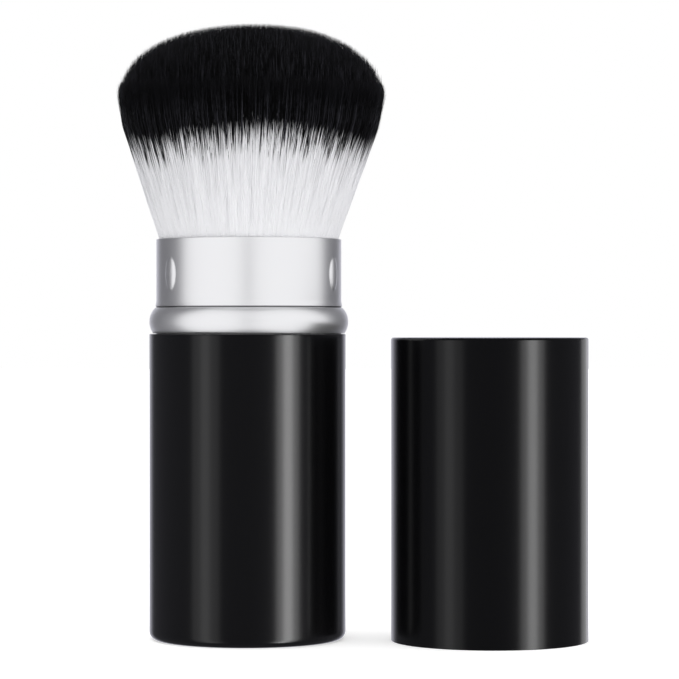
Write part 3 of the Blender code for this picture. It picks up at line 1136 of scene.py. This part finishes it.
    def spike(self, layer: Layer) -> bpy.types.Node:
        """Adds a spike one unit long and wide that has its marks.

        Args:
            layer: The layer.

        Returns:
            The node with the spike.
        """
        sides = self.head.sides
        shape = {"Vertices": sides, "Side Segments": layer.cuts, "Fill Segments": 1}
        shape |= {"Radius Top": 0.0, "Radius Bottom": 1.0, "Depth": 1.0}
        spike = add_node(self.tree, "GeometryNodeMeshCone", shape)
        split = add_node(self.tree, SEPARATE, [add_node(self.tree, "GeometryNodeInputPosition")])
        angle = self.work("ARCTAN2", split.outputs[1], split.outputs[0])
        share = self.work("FRACT", self.work("MULTIPLY_ADD", angle, 1 / FULL_TURN, 1.0))
        side = self.work("MULTIPLY", share, sides / (sides - 1))
        geometry = self.store(spike, "along", split.outputs[2])
        geometry = self.store(geometry, "angle", angle)
        return self.store(geometry, "side", side)

    def tip(self) -> bpy.types.Node:
        """Works out how high a fibre's tip is: the dome at its share of the radius, less its own shortfall.

        Returns:
            The node with the tip's height.
        """
        power = self.head.dome_power
        share = self.work("MULTIPLY", self.read("share"), self.head.tip_share)
        rest = self.work("SUBTRACT", 1.0, self.work("POWER", share, power))
        dome = self.work("POWER", rest, 1 / power)
        rise = self.work("SUBTRACT", self.given["Top Height"], self.given["Widest Height"])
        height = self.work("MULTIPLY_ADD", dome, rise, self.given["Widest Height"])
        short = self.work("POWER", self.read("short"), self.head.cut_power)
        lost = self.work("MULTIPLY", short, self.given["Cut"])
        return self.work("SUBTRACT", height, lost)

    def height(self, layer: Layer, tip: bpy.types.Node) -> bpy.types.Node:
        """Works out how high a corner is. A long fibre has its first cut at the sleeve's rim.

        Args:
            layer: The layer.
            tip: The height of the fibre's tip.

        Returns:
            The node with the corner's height.
        """
        along = self.read("along")
        if layer.length:
            before = self.work("SUBTRACT", along, 1.0)
            return self.work("MULTIPLY_ADD", before, layer.length, tip)
        first = 1 / layer.cuts
        below = self.remap(along, 0.0, first, self.given["Root Height"], self.given["Rim Height"])
        above = self.remap(along, first, 1.0, 0.0, 1.0)
        run = self.work("SUBTRACT", tip, self.given["Rim Height"])
        return self.work("MULTIPLY_ADD", above, run, below)

    def place(self, tip: bpy.types.Node, height: bpy.types.Node) -> bpy.types.Node:
        """Works out where a corner goes: out with the bundle, with its fibre's wanderings and width.

        Args:
            tip: The height of the fibre's tip.
            height: The corner's height.

        Returns:
            The node with the corner's place.
        """
        away = self.work("MULTIPLY", self.bundle(height), self.read("share"))
        free = self.remap(height, self.given["Rim Height"], tip, 0.0, 1.0)
        loose = self.work("POWER", free, self.head.loose_power)
        phase = self.work("MULTIPLY", self.read("column"), self.head.crimp_phases * FULL_TURN)
        wave = self.work("MULTIPLY_ADD", height, FULL_TURN / self.head.crimp_length, phase)
        across = self.across(away, height, free, loose, wave)
        outwards = self.outwards(away, free, loose, wave)

        thick = self.remap(self.read("along"), self.head.thick_share, 1.0, 1.0, 0.0)
        thick = self.work("MULTIPLY", thick, self.given["Fibre Radius"])
        twist = self.work("MULTIPLY_ADD", self.read("drift"), self.head.twist, math.pi)
        angle = self.work("ADD", self.read("angle"), twist)
        outwards = self.work("MULTIPLY_ADD", self.work("COSINE", angle), thick, outwards)
        across = self.work("MULTIPLY_ADD", self.work("SINE", angle), thick, across)
        local = add_node(self.tree, COMBINE, [outwards, across, height])
        turned_round = {"Vector": local, "Angle": self.read("turn")}
        upright = add_node(self.tree, ROTATE, turned_round, rotation_type="Z_AXIS")
        aside = add_node(self.tree, COMBINE, [self.aside(height)])
        return add_node(self.tree, VECTOR_MATH, [upright, aside], operation="ADD")

    def bundle(self, height: bpy.types.Node) -> bpy.types.Node:
        """Works out how wide the hair is.

        Args:
            height: The height.

        Returns:
            The node with the hair's radius there.
        """
        sunk = self.work("SUBTRACT", self.given["Rim Height"], height)
        sunk = self.work("MAXIMUM", sunk, 0.0)
        neck = self.work("MULTIPLY_ADD", sunk, -self.head.fan_slope, self.given["Rim Radius"])
        rise = self.remap(height, self.given["Rim Height"], self.given["Widest Height"], 1.0, 0.0)
        curve = self.work("POWER", rise, self.head.flare_power)
        flare = self.work("SUBTRACT", 1.0, curve)
        gain = self.work("SUBTRACT", self.given["Widest Radius"], self.given["Rim Radius"])
        return self.work("MULTIPLY_ADD", flare, gain, neck)

    def across(
        self,
        away: bpy.types.Node,
        height: bpy.types.Node,
        free: bpy.types.Node,
        loose: bpy.types.Node,
        wave: bpy.types.Node,
    ) -> bpy.types.Node:
        """Works out how far a corner strays round the head, by its clump, its own lean and its crimp.

        Args:
            away: How far from the axis its fibre is there.
            height: Its height.
            free: How far it is from the sleeve's rim to the tip, from 0 to 1.
            loose: The same, for what shows only towards the tip.
            wave: The angle of the fibre's crimp.

        Returns:
            The node with the distance.
        """
        lean = self.work("MULTIPLY", self.read("lean"), self.given["Sway"])
        pull = self.work("MULTIPLY_ADD", self.clumps(away, height), self.given["Clump"], lean)
        strayed = self.work("MULTIPLY", pull, loose)
        bend = self.work("MULTIPLY", self.work("SINE", wave), free)
        return self.work("MULTIPLY_ADD", bend, self.given["Crimp"], strayed)

    def outwards(
        self, away: bpy.types.Node, free: bpy.types.Node, loose: bpy.types.Node, wave: bpy.types.Node
    ) -> bpy.types.Node:
        """Works out how far out a corner is. Most fibres drift inwards, and a few are flung out.

        Args:
            away: How far from the axis its fibre is there, before it strays.
            free: How far it is from the sleeve's rim to the tip, from 0 to 1.
            loose: The same, for what shows only towards the tip.
            wave: The angle of the fibre's crimp.

        Returns:
            The node with the distance.
        """
        head = self.head
        drift = self.remap(self.read("drift"), -1.0, 1.0, head.drift_in, head.drift_out)
        few = self.work("POWER", self.read("column"), head.stray_power)
        flung = self.work("MULTIPLY", few, self.given["Stray"])
        strayed = self.work("MULTIPLY_ADD", drift, self.given["Sway"], flung)
        strayed = self.work("MULTIPLY_ADD", strayed, loose, away)
        dip = self.work("MULTIPLY", self.work("COSINE", wave), free)
        dip = self.work("MULTIPLY", dip, self.given["Crimp"])
        return self.work("MULTIPLY_ADD", dip, head.ripple, strayed)

    def clumps(self, away: bpy.types.Node, height: bpy.types.Node) -> bpy.types.Node:
        """Adds a slow noise over the head that pulls neighbouring fibres the same way.

        Args:
            away: How far from the axis the fibre is.
            height: The corner's height.

        Returns:
            The node with the pull, from -1 to 1.
        """
        low = self.work("MULTIPLY", height, self.head.clump_stretch)
        spot = add_node(self.tree, COMBINE, [away, 0.0, low])
        turned_round = {"Vector": spot, "Angle": self.read("turn")}
        spot = add_node(self.tree, ROTATE, turned_round, rotation_type="Z_AXIS")
        values = {"Vector": spot, "Scale": 1 / self.head.clump_size, "Detail": 1.0}
        noise = add_node(self.tree, NOISE, values)
        return self.remap(noise, self.head.clump_low, self.head.clump_high, -1.0, 1.0)

    def aside(self, height: bpy.types.Node) -> bpy.types.Node:
        """Works out how far the hair stands aside.

        Args:
            height: The height.

        Returns:
            The node with the distance along X.
        """
        head = self.head
        low = self.remap(height, self.given["Rim Height"], head.lean_height, 0.0, self.given["Lean"])
        low = self.work("ADD", low, head.play)
        high = self.remap(height, self.given["Widest Height"], self.given["Top Height"], 0.0, 1.0)
        high = self.work("POWER", high, head.top_power)
        return self.work("MULTIPLY_ADD", high, head.top_lean, low)

    def map_place(self, tip: bpy.types.Node) -> bpy.types.Node:
        """Works out a corner's place on the UV map: its column, and the distance from the tip upside down.

        Args:
            tip: The height of the fibre's tip.

        Returns:
            The node with the place.
        """
        head = self.head
        position = add_node(self.tree, SEPARATE, [add_node(self.tree, "GeometryNodeInputPosition")])
        away = self.work("SUBTRACT", self.read("turn"), head.dye_front)
        away = self.work("PINGPONG", away, math.pi / head.dye_arches)
        line = self.work("MULTIPLY_ADD", away, head.dye_swing, position.outputs[2])
        left = self.work("SUBTRACT", tip, line)
        up = self.remap(left, 0.0, FIBRE.map_length, 1.0, 0.0)
        number = self.work("MULTIPLY", self.read("column"), float(FIBRE.columns))
        number = self.work("FLOOR", number)
        margin = head.column_margin
        inset = self.work("MULTIPLY_ADD", self.read("side"), 1 - 2 * margin, margin)
        column = self.work("ADD", number, inset)
        right = self.work("DIVIDE", column, float(FIBRE.columns))
        return add_node(self.tree, COMBINE, [right, up])


# Studio


@dataclass
class Strip:
    """One tall light that faces the brush, for the pieces of some finishes only.

    The shells and the metal mirror it as an upright band. A soft one lights its pieces without that.
    """

    name: str
    azimuth: float
    width: float
    glow: float
    finishes: tuple[Finish, ...]
    low: float = -0.95
    high: float = 0.2
    distance: float = 0.9
    soft: bool = False

    def build(self) -> None:
        """Stands the light at its azimuth, facing the brush."""
        lamp = bpy.data.lights.new(self.name, "AREA")
        lamp.shape = "RECTANGLE"
        lamp.size = self.width
        lamp.size_y = self.high - self.low
        lamp.energy = self.glow * math.pi * self.width * lamp.size_y
        light = bpy.data.objects.new(self.name, lamp)
        turn = math.radians(self.azimuth)
        inward = Vector((-math.sin(turn), math.cos(turn), 0.0))
        light.location = Vector((0.0, 0.0, (self.low + self.high) / 2)) - inward * self.distance
        light.rotation_euler = inward.to_track_quat("-Z", "Y").to_euler()
        light.visible_diffuse = self.soft
        light.visible_glossy = not self.soft
        lit = bpy.data.collections.new(f"lit_by_{self.name}")
        for finish in self.finishes:
            for piece in pieces_of[finish]:
                lit.objects.link(piece)
        light.light_linking.receiver_collection = lit
        bpy.context.scene.collection.objects.link(light)


@dataclass
class Studio:
    """The camera, the pale floor, the white surround and the lights."""

    camera_place: Place = (0.0, -506.0 * MM, 53.0 * MM)
    camera_pitch: float = 89.70
    camera_turn: float = -1.752
    camera_reach: float = 10.0 * MM
    lens: float = 159.3
    sensor: float = 36.0
    fill: float = 1.12
    front: float = 0.12
    side: float = 0.14
    backdrop_from: float = 0.80
    backdrop_full: float = 0.97
    room_tint: str = "#f2f2ff"
    floor_size: float = 6.0
    floor_colour: str = "#f4f4f4"
    floor_lift: float = 0.45
    strips: tuple[Strip, ...] = (
        Strip("left_strip", -50.0, 0.18, 1.1, (LACQUER, CAP_LACQUER)),
        Strip("left_glow", -50.0, 0.56, 0.5, (LACQUER, CAP_LACQUER)),
        Strip("right_strip", 47.6, 0.18, 6.6, (LACQUER, CAP_LACQUER)),
        Strip("right_glow", 47.6, 0.46, 2.2, (LACQUER, CAP_LACQUER)),
        Strip("cap_edge", 140.0, 0.42, 0.8, (CAP_LACQUER,)),
        Strip("left_box", -46.8, 1.66, 0.86, (SLEEVE_SATIN, BEAD_SATIN), low=-1.3, high=2.4),
        Strip("right_box", 52.8, 2.22, 0.86, (SLEEVE_SATIN, BEAD_SATIN), low=-1.3, high=2.4),
        Strip("hair_light", 60.0, 2.0, 0.8, (FIBRE,), low=-0.5, high=0.7, soft=True),
    )

    def camera(self) -> None:
        """Sets the camera at the photograph's place and angle."""
        eye = bpy.data.cameras.new("photo_camera")
        eye.lens = self.lens
        eye.sensor_width = self.sensor
        eye.sensor_fit = "HORIZONTAL"
        eye.clip_start = self.camera_reach
        seen = bpy.data.objects.new("photo_camera", eye)
        seen.location = self.camera_place
        seen.rotation_euler = (math.radians(self.camera_pitch), 0.0, math.radians(self.camera_turn))
        bpy.context.scene.collection.objects.link(seen)
        bpy.context.scene.camera = seen

    def floor(self) -> None:
        """Lays the pale floor, which keeps the brush's shadow and isn't mirrored."""
        half = self.floor_size / 2
        mesh = bpy.data.meshes.new("floor")
        corners = [(-half, -half, 0.0), (half, -half, 0.0), (half, half, 0.0), (-half, half, 0.0)]
        mesh.from_pydata(corners, [], [(0, 1, 2, 3)])
        floor = bpy.data.objects.new("floor", mesh)
        bpy.context.scene.collection.objects.link(floor)
        material = bpy.data.materials.new("pale_floor")
        material.use_nodes = True
        tree = material.node_tree
        shader = tree.nodes["Principled BSDF"]
        shader.inputs["Base Color"].default_value = linear(self.floor_colour)
        shader.inputs["Roughness"].default_value = 1.0
        shader.inputs["Specular IOR Level"].default_value = 0.0
        shader.inputs["Emission Color"].default_value = WHITE
        ray = add_node(tree, "ShaderNodeLightPath").outputs["Is Camera Ray"]
        lift = work_out(tree, "MULTIPLY", ray, self.floor_lift)
        tree.links.new(lift.outputs[0], shader.inputs["Emission Strength"])
        mesh.materials.append(material)
        floor.visible_glossy = False
        floor.visible_shadow = False

    def surround(self) -> None:
        """Makes the world: white to the camera, a dim room with a white back to gloss, and a soft fill."""
        world = bpy.data.worlds.new("studio")
        bpy.context.scene.world = world
        world.use_nodes = True
        tree = world.node_tree
        tree.nodes.clear()
        ray = add_node(tree, "ShaderNodeLightPath").outputs
        way = add_node(tree, SEPARATE, [add_node(tree, COORDINATES).outputs["Generated"]])
        aside = work_out(tree, "ABSOLUTE", way)
        room = add_node(tree, MAP_RANGE, [aside, 0.0, 1.0, self.front, self.side])
        reach = [way.outputs[1], self.backdrop_from, self.backdrop_full, room, 1.0]
        behind = add_node(tree, MAP_RANGE, reach, interpolation_type="SMOOTHSTEP")
        seen = work_out(tree, "MAXIMUM", ray["Is Camera Ray"], ray["Is Transmission Ray"])
        fill = add_node(tree, "ShaderNodeBackground", [WHITE, self.fill])
        gloss = add_node(tree, "ShaderNodeBackground", [linear(self.room_tint), behind])
        plain = add_node(tree, "ShaderNodeBackground", [WHITE, 1.0])
        lit = add_node(tree, "ShaderNodeMixShader", [ray["Is Glossy Ray"], fill, gloss])
        done = add_node(tree, "ShaderNodeMixShader", [seen, lit, plain])
        add_node(tree, "ShaderNodeOutputWorld", [done])

    def build(self) -> None:
        """Builds the studio."""
        bpy.context.scene.view_settings.view_transform = "Standard"
        self.camera()
        self.floor()
        self.surround()
        for strip in self.strips:
            strip.build()
        log.info("the studio stands with %d strips", len(self.strips))


def main() -> None:
    """Builds the brush and its cap in order, then the studio round them."""
    logging.basicConfig(level=logging.INFO, format="%(name)s: %(message)s")
    for part in (Base(), Sleeve(), Head(), Cap(), Studio()):
        part.build()


if __name__ == "__main__":
    main()
